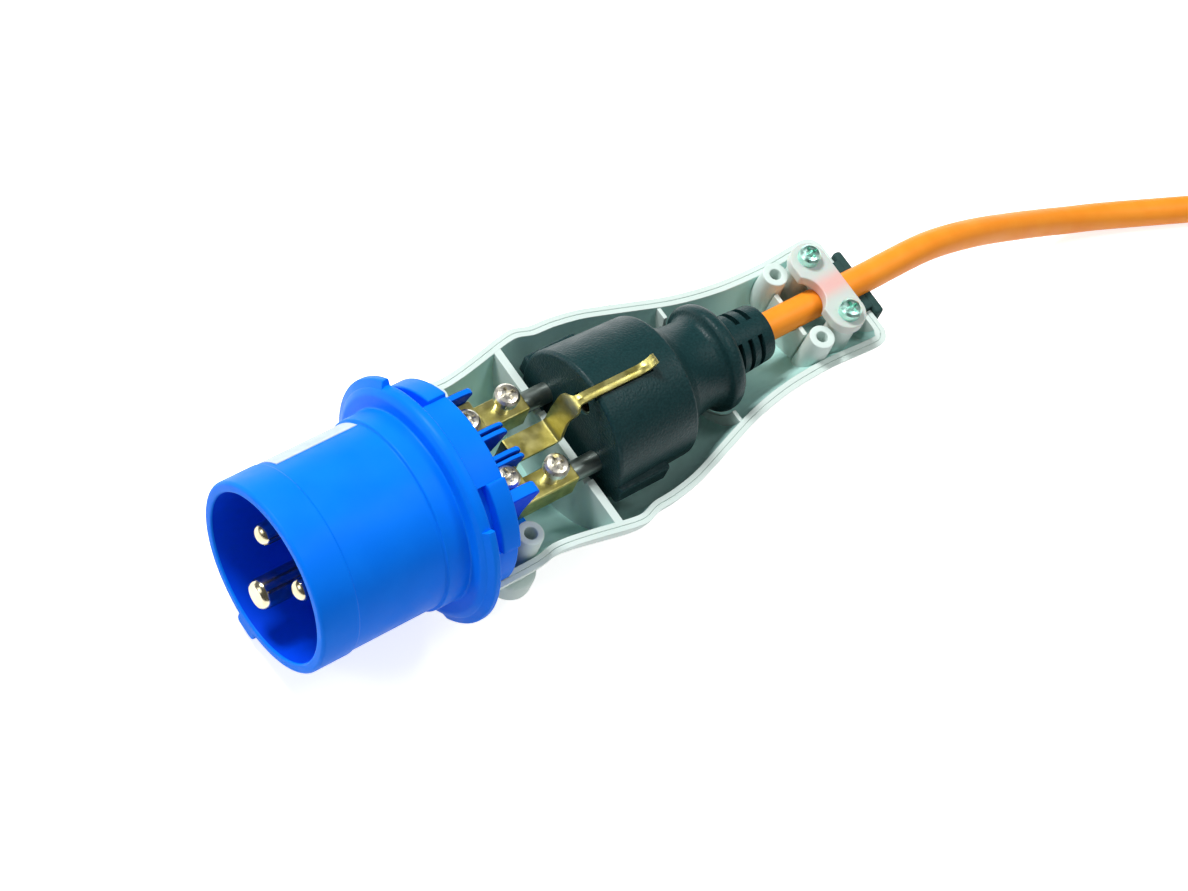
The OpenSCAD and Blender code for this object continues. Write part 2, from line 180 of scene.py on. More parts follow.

# The same polyamide inside the shroud, painted darker and deeper blue as shade.
blue_painted_shade, blue_painted_shade_shader = finish("blue_polyamide_painted_shade", IOR=1.53, Specular_IOR_Level=0.06)
clouded(blue_painted_shade, blue_painted_shade_shader, 9.0, "#0046EA", "#004AEE")
grained(blue_painted_shade, blue_painted_shade_shader, 0.5, 0.02, 0.12)
glossed(blue_painted_shade, blue_painted_shade_shader, 6.0, 0.4, 0.55)

# The same polyamide on the fins' sides, painted darker as the shade they cast on each other.
fin_painted_shade, fin_painted_shade_shader = finish("blue_polyamide_fins_painted_shade", IOR=1.53, Specular_IOR_Level=0.06)
clouded(fin_painted_shade, fin_painted_shade_shader, 9.0, "#0040B0", "#0043B4")
grained(fin_painted_shade, fin_painted_shade_shader, 0.5, 0.02, 0.12)
glossed(fin_painted_shade, fin_painted_shade_shader, 6.0, 0.4, 0.55)

# Pale grey ABS: cool light grey, satin.
grey, grey_shader = finish("grey_abs", IOR=1.53, Specular_IOR_Level=0.35)
clouded(grey, grey_shader, 12.0, "#D2E3DD", "#D8E7E2")
grained(grey, grey_shader, 0.5, 0.02, 0.15)
glossed(grey, grey_shader, 8.0, 0.4, 0.52)

# The same ABS inside the housing: duller, and painted greener as shade.
grey_inside_dull_painted_shade, grey_inside_dull_painted_shade_shader = finish("grey_abs_inside_dull_painted_shade", IOR=1.53, Specular_IOR_Level=0.25)
clouded(grey_inside_dull_painted_shade, grey_inside_dull_painted_shade_shader, 12.0, "#B2E0D9", "#BBE6E0")
grained(grey_inside_dull_painted_shade, grey_inside_dull_painted_shade_shader, 0.6, 0.03, 0.2)
glossed(grey_inside_dull_painted_shade, grey_inside_dull_painted_shade_shader, 8.0, 0.5, 0.62)

# Soft black PVC: green-black, leathery grain.
black, black_shader = finish("black_pvc", IOR=1.52, Specular_IOR_Level=0.16)
clouded(black, black_shader, 0.5, "#143133", "#1B3B3D")
grained(black, black_shader, 0.55, 0.16, 0.8)
glossed(black, black_shader, 4.0, 0.32, 0.44)

# Black rubber of the seal: a little lighter and quite dull.
rubber, rubber_shader = finish("black_rubber", IOR=1.5, Specular_IOR_Level=0.15)
clouded(rubber, rubber_shader, 3.0, "#2C4846", "#33504E")
grained(rubber, rubber_shader, 0.4, 0.03, 0.3)
glossed(rubber, rubber_shader, 5.0, 0.6, 0.75)

# Black polyamide of the far socket's insert: harder and smoother than PVC.
hard_black, hard_black_shader = finish("black_polyamide", IOR=1.53, Specular_IOR_Level=0.4)
clouded(hard_black, hard_black_shader, 5.0, "#1A2A2C", "#203234")
grained(hard_black, hard_black_shader, 0.4, 0.02, 0.15)
glossed(hard_black, hard_black_shader, 5.0, 0.36, 0.5)

# Milky polyamide of the clamp: soft white, with a painted pink glow where the orange cord would shine
# through the arch.
PAINTED_GLOW_FROM, PAINTED_GLOW_TO = 0.3, 4.2
milky, milky_shader = finish("milky_polyamide", IOR=1.53, Specular_IOR_Level=0.4,
                             Subsurface_Weight=0.25, Subsurface_Scale=0.002)
painted_glow_parts = node(milky, "ShaderNodeSeparateXYZ", None, {"Vector": place_of(milky)})
painted_glow_side = node(milky, "ShaderNodeMath", {"operation": "ABSOLUTE"}, {0: painted_glow_parts.outputs["Y"]})
painted_glow_ramp = node(milky, "ShaderNodeMapRange", {"interpolation_type": "SMOOTHSTEP"},
                  {"Value": painted_glow_side.outputs[0],
                   "From Min": PAINTED_GLOW_FROM * MM, "From Max": PAINTED_GLOW_TO * MM})
# The pink end is a painted glow of the orange cord seen through the arch.
painted_glow_tint = node(milky, "ShaderNodeValToRGB", None, {"Fac": painted_glow_ramp.outputs["Result"]})
painted_glow_tint.color_ramp.elements[0].color = tone("#E6B9B2")
painted_glow_tint.color_ramp.elements[1].color = tone("#C9D2CC")
drive(milky, painted_glow_tint.outputs["Color"], milky_shader, "Base Color")
grained(milky, milky_shader, 0.6, 0.03, 0.2)
glossed(milky, milky_shader, 4.0, 0.32, 0.48)
print("plastics:", 9)

# %% [markdown]
# ## Metals
# The terminal bars and the earth strip are brass, which reads as yellow with a little green, with a rolled
# skin and darker smears from handling. The pins are nickel plated brass: bright, warm and a little worn.
# The screws are plated steel. Those of the clamp have a blue-green passivation.

# %% Metals
# Rolled brass: warm yellow-green, streaked gloss.
brass, brass_shader = finish("rolled_brass", Metallic=1.0)
clouded(brass, brass_shader, 3.5, "#B4AB5E", "#D8D088")
grained(brass, brass_shader, 0.5, 0.02, 0.25)
glossed(brass, brass_shader, 2.5, 0.3, 0.48)

# Nickel plated brass of the pins: warm silver.
nickel, nickel_shader = finish("nickel_plate", Metallic=1.0)
clouded(nickel, nickel_shader, 3.0, "#CBC19E", "#DDD4B6")
grained(nickel, nickel_shader, 0.4, 0.01, 0.2)
glossed(nickel, nickel_shader, 2.0, 0.14, 0.26)

# Bright plated steel of the terminal screws.
bright_steel, bright_shader = finish("plated_steel", Metallic=1.0)
clouded(bright_steel, bright_shader, 1.2, "#E2DDCA", "#F6F3E8")
grained(bright_steel, bright_shader, 0.5, 0.05, 0.5)
glossed(bright_steel, bright_shader, 1.0, 0.24, 0.4)

# Duller plated steel of the mains plug's pins.
grey_steel, grey_steel_shader = finish("dull_plated_steel", Metallic=1.0)
clouded(grey_steel, grey_steel_shader, 4.0, "#84908A", "#A2AEA8")
glossed(grey_steel, grey_steel_shader, 3.0, 0.34, 0.46)

# Steel with a blue-green passivated zinc coat, as on the clamp screws.
zinc, zinc_shader = finish("passivated_zinc", Metallic=1.0)
clouded(zinc, zinc_shader, 1.1, "#B4F0E0", "#D4FCF0")
grained(zinc, zinc_shader, 0.5, 0.05, 0.5)
glossed(zinc, zinc_shader, 1.0, 0.26, 0.42)
print("metals:", 5)

# %% [markdown]
# ## Paper and woven tape
# The label is plain matt paper. The tie around the folded cord is a woven tape: two crossed waves give its
# threads, which are about half a millimetre wide.

# %% Paper and tape
# Matt label paper: off-white with faint fibres.
paper, paper_shader = finish("label_paper", IOR=1.5, Specular_IOR_Level=0.2)
clouded(paper, paper_shader, 2.0, "#BBCACD", "#C4D2D5")
grained(paper, paper_shader, 0.3, 0.01, 0.2)
glossed(paper, paper_shader, 3.0, 0.6, 0.75)

# Woven polyester tape: dull black, threads 0.5 mm wide. A wave of scale s repeats every 0.314 / s.
THREAD, WAVE = 0.5, 0.314
tape, tape_shader = finish("woven_tape", Roughness=0.85, Specular_IOR_Level=0.2, Sheen_Weight=0.15)
tape_place = place_of(tape)
warp = node(tape, "ShaderNodeTexWave", {"bands_direction": "X"},
            {"Vector": tape_place, "Scale": WAVE / (THREAD * MM), "Distortion": 0.4})
weft = node(tape, "ShaderNodeTexWave", {"bands_direction": "Z"},
            {"Vector": tape_place, "Scale": WAVE / (THREAD * MM), "Distortion": 0.4})
weave = node(tape, "ShaderNodeMath", {"operation": "MULTIPLY"},
             {0: warp.outputs["Fac"], 1: weft.outputs["Fac"]})
tape_ramp = node(tape, "ShaderNodeValToRGB", None, {"Fac": weave.outputs[0]})
tape_ramp.color_ramp.elements[0].color = tone("#111718")
tape_ramp.color_ramp.elements[1].color = tone("#2C3435")
drive(tape, tape_ramp.outputs["Color"], tape_shader, "Base Color")
tape_bump = node(tape, "ShaderNodeBump", None,
                 {"Strength": 0.6, "Distance": 0.1 * MM, "Height": weave.outputs[0]})
drive(tape, tape_bump.outputs["Normal"], tape_shader, "Normal")
print("paper and tape ready")

# %% [markdown]
# ## Shaping helpers
# Most pieces of this object were turned or moulded round, so one helper spins an outline about the plug's
# axis. Its angles start at the bottom and go round over the far side. Others make a box with rounded edges,
# a plate from its side outline, a round post and a bent sheet. A piece may be several closed shells that run
# into each other, as ribs run into a wall in a moulding.

# %% Shaping helpers
def soft_outline(points, radius):
    """Rounds the corners of a closed outline in X and radius, apart from corners on the axis."""
    steps = 3
    rounded = []
    for before, corner, after in zip(points[-1:] + points[:-1], points, points[1:] + points[:1]):
        a, b, c = Vector(before), Vector(corner), Vector(after)
        reach = min(radius, 0.45 * (a - b).length, 0.45 * (c - b).length)
        if b.y == 0 or (b - a).angle(c - b) < math.radians(15):
            rounded.append(corner)
            continue
        first = b + (a - b).normalized() * reach
        last = b + (c - b).normalized() * reach
        for k in range(steps + 1):
            t = k / steps
            rounded.append(tuple(first * (1 - t) ** 2 + b * (2 * t * (1 - t)) + last * t ** 2))
    return rounded


def turned(points, sweep=360.0, start=0.0, steps=96):
    """Spins a closed outline in X and radius about the axis, from the bottom towards the far side."""
    bm = bmesh.new()
    angle = math.radians(start)
    ring = [bm.verts.new((x, r * math.sin(angle), -r * math.cos(angle))) for x, r in points]
    edges = [bm.edges.new(pair) for pair in zip(ring, ring[1:] + ring[:1])]
    bmesh.ops.spin(bm, geom=ring + edges, cent=(0, 0, 0), axis=(1, 0, 0), dvec=(0, 0, 0),
                   angle=math.radians(sweep), steps=steps, use_merge=sweep == 360.0, use_duplicate=False)
    bmesh.ops.remove_doubles(bm, verts=bm.verts, dist=0.0005)
    bmesh.ops.delete(bm, geom=[e for e in bm.edges if e.is_wire], context="EDGES")
    close(bm)
    bmesh.ops.recalc_face_normals(bm, faces=bm.faces)
    return bm


def close(bm):
    """Fills the open ends of a shell."""
    open_edges = [e for e in bm.edges if e.is_boundary]
    if open_edges:
        bmesh.ops.holes_fill(bm, edges=open_edges, sides=0)


def cut(bm, point, away):
    """Cuts a shell at a plane, drops the side that the direction points to, and closes the cut."""
    bmesh.ops.bisect_plane(bm, geom=bm.verts[:] + bm.edges[:] + bm.faces[:], dist=0.0005, plane_co=point,
                           plane_no=away, clear_outer=True)
    close(bm)


def carve(bm, *cutters):
    """Cuts closed shells out of a closed shell."""
    scratch = []
    for shell in (bm, *cutters):
        mesh = bpy.data.meshes.new("scratch")
        shell.to_mesh(mesh)
        shell.free()
        scratch.append(bpy.data.objects.new("scratch", mesh))
        bpy.context.scene.collection.objects.link(scratch[-1])
    for cutter in scratch[1:]:
        step = scratch[0].modifiers.new("cut", "BOOLEAN")
        step.operation = "DIFFERENCE"
        step.solver = "EXACT"
        step.object = cutter
    result = bmesh.new()
    result.from_object(scratch[0], bpy.context.evaluated_depsgraph_get())
    for made in scratch:
        bpy.data.objects.remove(made)
    return result


def bevel(bm, edges, size, segments, clamp=True):
    """Rounds the given edges."""
    bmesh.ops.bevel(bm, geom=edges, offset=size, offset_type="OFFSET", affect="EDGES", segments=segments,
                    profile=0.5, material=-1, clamp_overlap=clamp)


def round_edges(bm, size, segments=2, limit=30.0):
    """Rounds the edges that are sharper than the limit in degrees."""
    sharp = [e for e in bm.edges if len(e.link_faces) == 2 and e.calc_face_angle() > math.radians(limit)]
    bevel(bm, sharp, size, segments)
    return bm


def moved(bm, x, y, z):
    """Shifts a shell."""
    bmesh.ops.translate(bm, vec=(x, y, z), verts=bm.verts)
    return bm


def block(low, high, size=0.3, segments=2):
    """A box between two corners, with rounded edges where a size is given."""
    bm = bmesh.new()
    middle = (Vector(low) + Vector(high)) / 2
    span = Vector(high) - Vector(low)
    bmesh.ops.create_cube(bm, size=1.0, matrix=Matrix.Translation(middle) @ Matrix.Diagonal((*span, 1.0)))
    return round_edges(bm, size, segments) if size else bm


def plate(outline, y, width, size=0.2, segments=2):
    """A side outline in X and Z, given its width about a Y position and rounded edges."""
    bm = bmesh.new()
    face = bm.faces.new([bm.verts.new((x, y - width / 2, z)) for x, z in outline])
    made = bmesh.ops.extrude_face_region(bm, geom=[face], use_keep_orig=True)
    raised = [g for g in made["geom"] if isinstance(g, bmesh.types.BMVert)]
    bmesh.ops.translate(bm, vec=(0, width, 0), verts=raised)
    bmesh.ops.recalc_face_normals(bm, faces=bm.faces)
    return round_edges(bm, size, segments)


def rod(x0, x1, y, z, radius, size=0.3):
    """A round bar along X with rounded ends."""
    outline = soft_outline([(x0, 0), (x0, radius), (x1, radius), (x1, 0)], size)
    return moved(turned(outline, steps=48), 0, y, z)


def upright(points, x, y, steps=48):
    """A shape turned about an upright axis, from an outline in height and radius."""
    bm = turned(points, steps=steps)
    stand = Matrix.Translation((x, y, 0)) @ Matrix.Rotation(math.radians(-90), 4, "Y")
    bmesh.ops.transform(bm, matrix=stand, verts=bm.verts)
    return bm


def ribbon(rows):
    """A sheet through rows of points, each row extruded from the one before. Far points come first."""
    bm = bmesh.new()
    row = [bm.verts.new(p) for p in rows[0]]
    edges = [bm.edges.new(pair) for pair in zip(row, row[1:])]
    for points in rows[1:]:
        grown = bmesh.ops.extrude_edge_only(bm, edges=edges)["geom"]
        copies = {tuple(round(c, 4) for c in v.co): v for v in grown if isinstance(v, bmesh.types.BMVert)}
        row = [copies[tuple(round(c, 4) for c in v.co)] for v in row]
        edges = [e for e in grown if isinstance(e, bmesh.types.BMEdge) and set(e.verts) <= set(row)]
        for vertex, place in zip(row, points):
            vertex.co = place
    bmesh.ops.recalc_face_normals(bm, faces=bm.faces)
    return bm


def thick_sheet(rows, thickness, upper):
    """A sheet through rows of points, thickened downwards. The key finds a face that looks up."""
    bm = ribbon(rows)
    if max(bm.faces, key=upper).normal.z < 0:
        bmesh.ops.reverse_faces(bm, faces=bm.faces)
    bmesh.ops.solidify(bm, geom=bm.faces[:], thickness=thickness)
    bmesh.ops.recalc_face_normals(bm, faces=bm.faces)
    return bm


print("shaping helpers ready")

# %% [markdown]
# ## From shells to a piece
# A piece joins its shells into one mesh, goes to its place, and stands for the measured nodes that it
# remakes. Edges under about 35 degrees shade smoothly. A weighted normal modifier keeps large flat faces
# flat next to their narrow rounded edges.

# %% Pieces
def piece(shells, name, materials, slot, *replaced, place=PLUG):
    """Joins shells into one object that rides the root body and replaces measured nodes."""
    mesh = bpy.data.meshes.new(name)
    whole = bmesh.new()
    for part in shells:
        part.to_mesh(mesh)
        part.free()
        whole.from_mesh(mesh)
    bmesh.ops.transform(whole, matrix=place, verts=whole.verts)
    for face in whole.faces:
        face.smooth = True
    for edge in whole.edges:
        edge.smooth = len(edge.link_faces) != 2 or edge.calc_face_angle() < math.radians(35)
    whole.to_mesh(mesh)
    whole.free()
    for material in materials:
        mesh.materials.append(material)
    made = bpy.data.objects.new(name, mesh)
    bpy.context.scene.collection.objects.link(made)
    even = made.modifiers.new("even_shading", "WEIGHTED_NORMAL")
    even.keep_sharp = True
    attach(made, "root")
    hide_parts(*replaced)
    print(name, "faces:", len(mesh.polygons))


print("piece helper ready")

# %% [markdown]
# ## Blue plug
# The moulding is a round shroud with a stop flange and a ring behind it. The flange stands further out at
# both sides. Behind it, the ring has two raised blocks with a slot in front of each, where the other half
# of the housing locks in. Fins between the terminals keep the live parts apart, and a key under the shroud
# lets the plug into its socket one way round only. Everything round is spun, and the rest is plates and
# blocks.

# %% Blue plug
SHROUD_R, CAVITY_R, SHROUD_DEPTH = 21.5, 19.4, 37.5
FLANGE_X, FLANGE_BACK, FLANGE_R, WING_R = 36.8, 40.0, 27.0, 28.4
RING_BACK, RING_IN, RING_R, STEP_R, BLOCK_R = 48.2, 20.2, 21.4, 23.4, 24.3
PIN_Y, PIN_Z, EARTH_Z = 7.19, 4.15, -8.3
DISC_X, SOCLE_BACK = 41, 50
SLOT_ANGLES = (113, 207)
shroud = [(0, CAVITY_R), (0, SHROUD_R - 0.2), (0.5, SHROUD_R + 0.3), (9, SHROUD_R + 0.3), (9.3, SHROUD_R),
          (31, SHROUD_R), (31.2, SHROUD_R + 0.7), (FLANGE_X, SHROUD_R + 0.7), (FLANGE_X, 25.2),
          (37.6, 26.6), (38.5, FLANGE_R), (FLANGE_BACK, FLANGE_R), (FLANGE_BACK, RING_R),
          (RING_BACK, RING_R), (RING_BACK, RING_IN), (42, RING_IN), (42, 0), (SHROUD_DEPTH, 0),
          (SHROUD_DEPTH, CAVITY_R)]
blue_shells = [turned(soft_outline(shroud, 0.5), steps=128)]
# Faces inside the cavity get the blue with painted shade.
for face in blue_shells[0].faces:
    middle = face.calc_center_median()
    if middle.yz.length < CAVITY_R + 0.05 and 0.6 < middle.x < SHROUD_DEPTH + 0.1:
        face.material_index = 1
for angle in (45, 225):
    outline = [(37.2, 25.5), (38.5, WING_R), (FLANGE_BACK, WING_R), (FLANGE_BACK, 25.5)]
    wing = turned(soft_outline(outline, 0.4), 90, angle, 36)
    blue_shells.append(round_edges(wing, 0.5, 3, 60))
for start, end in ((83, 113), (153, 207), (247, 277)):
    outline = [(39.8, 20.8), (39.8, STEP_R), (RING_BACK, STEP_R), (RING_BACK, 20.8)]
    blue_shells.append(turned(soft_outline(outline, 0.5), end - start, start, (end - start) // 3))
for angle in SLOT_ANGLES:
    outline = [(43.6, 20.8), (43.6, BLOCK_R), (RING_BACK, BLOCK_R), (RING_BACK, 20.8)]
    raised_block = turned(soft_outline(outline, 0.5), 40, angle, 16)
    blue_shells.append(round_edges(raised_block, 0.35, 2, 60))


def fin(y, top, low, tip, width, painted_shade_index=2):
    """A separator fin with a pointed free end, and painted shade on its sides."""
    outline = [(DISC_X, low), (DISC_X, top), (tip - 3.5, top), (tip - 0.9, top - 0.4), (tip, top - 1.4),
               (tip - 2.5, top - 7), (tip - 4, low)]
    made = plate(outline, y, width, 0.5, 3)
    for face in made.faces:
        face.material_index = painted_shade_index if abs(face.normal.y) > 0.7 else 0
    return made


# Every fin's sides are painted darker as shade; the thick near fin takes the shroud's painted-shade blue.
for side in (-1, 1):
    blue_shells.append(fin(side * 4.15, 9.4, -5, 62, 1.2))
    blue_shells.append(fin(side * 2.5, 9.4, -1, 62, 1.4))
    blue_shells.append(block((DISC_X, side * 8.7 - 5.5, -6.6), (60, side * 8.7 + 5.5, -5)))
    blue_shells.append(rod(DISC_X, SOCLE_BACK, side * PIN_Y, PIN_Z, 4.6))
blue_shells.append(fin(13.35, 10.8, -5, 59.8, 1.6))
blue_shells.append(fin(-12.6, 12.2, -5, 58.6, 3, 1))
blue_shells.append(rod(DISC_X, SOCLE_BACK, 0, EARTH_Z, 5.6))
key = block((0.5, -3, -25), (37.3, 3.2, -20.5), 0)
low_edges = [e for e in key.edges if max(v.co.z for v in e.verts) < -24]
bevel(key, [e for e in low_edges if e.verts[0].co.y == e.verts[1].co.y], 1.3, 5)
blue_shells.append(round_edges(key, 0.25, 2, 60))
piece(blue_shells, "blue_plug_moulding", [blue, blue_painted_shade, fin_painted_shade], "blue_plastic", "plug_body")

# %% [markdown]
# ## Pins of the blue plug
# The pins are turned from bar and plated. Line and neutral have domed tips, and the longer, thicker earth
# pin has a flat end with a chamfer. Each is an outline spun about the pin's own axis, and the dome is a
# quarter of an ellipse.

# %% Pins
LINE_TIP, LINE_R, DOME, STUD_BACK, STUD_R = 2.2, 2.5, 1.9, 56, 1.7
EARTH_R, EARTH_STUD_BACK, EARTH_STUD_R = 3.5, 64.5, 2
arcs = [math.pi / 2 * k / 10 for k in range(11)]
line_outline = [(LINE_TIP + DOME * (1 - math.cos(a)), LINE_R * math.sin(a)) for a in arcs]
line_outline += [(SOCLE_BACK, LINE_R), (SOCLE_BACK, STUD_R), (STUD_BACK, STUD_R), (STUD_BACK, 0)]
for name, side in (("line_pin", -1), ("neutral_pin", 1)):
    pin = moved(turned(line_outline, steps=48), 0, side * PIN_Y, PIN_Z)
    piece([pin], name + "_turned", [nickel], "nickel", name)
earth_outline = [(0, 0), (0, 2.7), (0.25, 3.0), (1.2, EARTH_R - 0.04), (1.6, EARTH_R), (SOCLE_BACK, EARTH_R),
                 (SOCLE_BACK, EARTH_STUD_R), (EARTH_STUD_BACK, EARTH_STUD_R), (EARTH_STUD_BACK, 0)]
earth = moved(turned(earth_outline, steps=64), 0, 0, EARTH_Z)
piece([earth], "earth_pin_turned", [nickel], "nickel", "earth_pin")

# %% [markdown]
# ## Terminal bars
# Each bar is a brass block, higher at its front where the pin's stud is screwed in. Brass bar is drawn with
# a small radius on its edges, and these edges catch the light, so the boxes get a real bevel.

# %% Terminal bars
BAR_BACK, BAR_LOW, BAR_TOP, BAR_HALF = 73, -5, 1.9, 3
FRONT_BACK, FRONT_TOP, FRONT_IN = 59, 7.2, 5
# The line bar's front is narrower, because the fin beside it is thick
for name, side, front_out in (("line_terminal_bar", -1, 11), ("neutral_terminal_bar", 1, 12.5)):
    middle = side * BAR_Y
    inner, outer = sorted((side * FRONT_IN, side * front_out))
    bar = block((SOCLE_BACK, middle - BAR_HALF, BAR_LOW), (BAR_BACK, middle + BAR_HALF, BAR_TOP), 0.35, 3)
    front = block((SOCLE_BACK, inner, BAR_LOW), (FRONT_BACK, outer, FRONT_TOP), 0.35, 3)
    piece([bar, front], name + "_brass", [brass], "brass", name)

# %% [markdown]
# ## Earth strip
# The strip is stamped from sheet and bent: up from the earth pin, level between the bars, up again in front
# of the mains plug, and then as a narrow tongue along its top. A row of five points is extruded from bend
# to bend, and the sheet then gets its thickness. A ridge pressed along the tongue's middle keeps it stiff.

# %% Earth strip
SHEET, RIDGE = 0.9, 0.45
# Far and near edge of the wide plate and of the narrow tongue
WIDE = (2.7, -3.2)
THIN = (-0.43, -2.8)
# X, height, far edge, near edge and height of the ridge, along the strip's upper face
BENDS = [(62.2, -12, *WIDE, 0), (62.2, 1.8, *WIDE, 0), (62.4, 2.3, *WIDE, 0), (62.9, 2.5, *WIDE, 0),
         (72.7, 2.5, *WIDE, 0), (73.2, 2.62, *WIDE, 0), (73.5, 3, *WIDE, 0), (73.6, 3.6, 2.7, -3.15, 0),
         (73.6, 8, 2.5, -2.85, 0), (73.62, 10, 2.35, -2.95, 0), (73.7, 11.6, 2.25, -3.25, 0),
         (73.85, 13, 2.15, -3.6, 0), (74.05, 14, 2.08, -3.75, 0), (74.35, 14.8, 1.8, -3.7, 0),
         (74.7, 15.4, 0.9, -3.4, 0.05), (75.05, 15.85, 0.2, -3.05, 0.1), (75.45, 16.2, -0.25, -2.85, 0.15),
         (76, 16.48, *THIN, 0.2), (76.8, 16.64, *THIN, 0.22), (78, 16.7, *THIN, 0.22),
         (80, 16.68, *THIN, 0.22), (91.5, 16.35, *THIN, 0.22), (92.8, 16.5, *THIN, 0.2),
         (93.9, 16.9, *THIN, 0.12), (94.7, 17.7, *THIN, 0.05), (95.2, 18.65, *THIN, 0)]
strip_rows = []
for x, z, far, near, lift in BENDS:
    middle = (far + near) / 2
    strip_rows.append([(x, far, z), (x, middle + RIDGE, z), (x, middle, z + lift), (x, middle - RIDGE, z),
                       (x, near, z)])
strip = thick_sheet(strip_rows, SHEET, lambda f: f.calc_center_median().x < 72 and f.normal.z ** 2)
print("strip height:", round(max(v.co.z for v in strip.verts), 2))
piece([round_edges(strip, 0.12, 2, 50)], "earth_strip_brass", [brass], "brass", "earth_strip")

# %% [markdown]
# ## Label
# A plain paper label is stuck around the far side of the shroud. It is a thin shell of part of a turn.

# %% Label
LABEL_FRONT, LABEL_BACK, LABEL_START, LABEL_TURN = 10.5, 30.5, 65, 68
under, over = SHROUD_R - 0.05, SHROUD_R + 0.15
outline = [(LABEL_FRONT, under), (LABEL_FRONT, over), (LABEL_BACK, over), (LABEL_BACK, under)]
label = turned(outline, LABEL_TURN, LABEL_START, 40)
piece([label], "paper_label", [paper], "label", "rating_label")

# %% [markdown]
# ## Lower housing
# The housing is half of a round moulding that was split along its length. Its outline is spun, cut at the
# split plane, and closed there by its rim. The rim has a fine groove for the other half's tongue, so the
# wall is made in three layers, and the middle one ends lower.

# %% Housing shell
WALL, HOUSING_BACK, CLAMP_X, TABLE_Z = 2.5, 162.0, 151.2, -27
HOUSING = [(40.2, 24.7), (48, 24.7), (56, 24.6), (61, 23.85), (66, 24.25), (72, 25.3), (78, 26.5), (81, 27),
           (83.5, 27.05), (87, 26), (90, 25.8), (93, 25.57), (99, 24.55), (105, 22.78), (114, 19.9),
           (120, 18.1), (126, 16.8), (132, 15.9), (138, 15.45), (146, 15.3), (154, 15.75)]


def smooth_line(points, steps):
    """A smooth curve through the points, with the given steps between neighbours."""
    pts = [Vector(p) for p in points]
    ends = [pts[0]] + pts + [pts[-1]]
    line = []
    for a, b, c, d in zip(ends, ends[1:], ends[2:], ends[3:]):
        for k in range(steps):
            t = k / steps
            line.append(0.5 * (2 * b + (c - a) * t + (2 * a - 5 * b + 4 * c - d) * t ** 2
                               + (3 * b - a - 3 * c + d) * t ** 3))
    return line + [pts[-1]]


def wall_line(depth):
    """The housing's outline at a depth below its outside, from the flange to the end wall's middle."""
    side = [(x, r - depth) for x, r in HOUSING]
    corner = [(158.5 - 0.2 * depth, 15.9 - depth), (160.8 - 0.8 * depth, 15 - 0.75 * depth),
              (HOUSING_BACK - depth, 12.9 - 0.35 * depth)]
    return [tuple(p) for p in smooth_line(side + corner, 4)] + [(HOUSING_BACK - depth, 0)]


def skin(deeper, shallower, top):
    """One layer of the wall between two depths, cut at a height, with rounded rim edges."""
    layer = turned(wall_line(shallower) + wall_line(deeper)[::-1], steps=128)
    cut(layer, (0, 0, TABLE_Z), (0, 0, -1))
    cut(layer, (0, 0, top), (0, 0, 1))
    layer = carve(layer, block((150, -6.9, -10.5), (170, 6.9, 10), 0))
    bmesh.ops.remove_doubles(layer, verts=layer.verts, dist=0.03)
    rim = [f for f in layer.faces if f.normal.z > 0.99 and f.calc_center_median().z > top - 0.01]
    bevel(layer, list({e for f in rim for e in f.edges}), 0.18, 2, False)
    return layer


outer_skin = skin(1.2, 0, SPLIT_Z)
groove_floor = skin(1.4, 1.1, SPLIT_Z - 0.25)
inner_skin = skin(WALL, 1.3, SPLIT_Z)
# Inner faces, apart from the rim, get the duller ABS painted greener as shade.
for face in inner_skin.faces:
    middle = face.calc_center_median()
    on_rim = middle.z > SPLIT_Z - 0.2 and face.normal.z > 0.3
    if face.normal.y * middle.y + face.normal.z * middle.z < 0 and not on_rim:
        face.material_index = 1
print("housing skins:", len(outer_skin.faces), len(groove_floor.faces), len(inner_skin.faces))

# %% [markdown]
# The walls and bosses stand inside the shell. The first cross wall is a disc cut at the rim, with notches
# for the mains plug's pins. The second one is a ring around the plug's collar. A low rib carries the cord.
# The bosses are turned posts with a hole: four took the case screws, and two take the clamp's.

# %% Housing walls and bosses
def boss(x, y, low, top, radius, hole):
    """A post with a screw hole and a slight draft."""
    hole_end = top - 9
    outline = [(low, 0), (low, radius + 0.35), (top, radius), (top, hole), (hole_end, hole), (hole_end, 0)]
    return upright(soft_outline(outline, 0.3), x, y)


BOSS_X, BOSS_Y, REAR_BOSS_X, BOSS_TOP = 55.6, 18.4, 143.8, 1.9
notches = [block((70, side * BAR_Y - 2.8, -4.3), (80, side * BAR_Y + 2.8, 5), 0) for side in (-1, 1)]
pin_wall = turned([(76.2, 0), (76.2, 24.6), (78.2, 24.6), (78.2, 0)], steps=64)
cut(pin_wall, (0, 0, SPLIT_Z - 0.05), (0, 0, 1))
pin_wall = round_edges(carve(pin_wall, *notches), 0.25, 2, 60)
housing_shells = [outer_skin, groove_floor, inner_skin, pin_wall]
collar_ring = turned([(116.5, 13.4), (116.5, 17), (117.5, 17), (117.5, 13.4)])
collar_wall = moved(collar_ring, 0, 0, MAINS_Z)
cut(collar_wall, (0, 0, SPLIT_Z - 0.3), (0, 0, 1))
housing_shells.append(round_edges(collar_wall, 0.25, 2, 60))
housing_shells.append(turned([(91, 19), (91, 23.5), (93, 23.5), (93, 19)], 60, -30, 24))
cord_rib = carve(block((142, -5.9, -13), (143.2, 5.9, -1.2), 0), rod(141, 144, 0, MAINS_Z, 3.5, 0))
housing_shells.append(round_edges(cord_rib, 0.3, 2, 60))
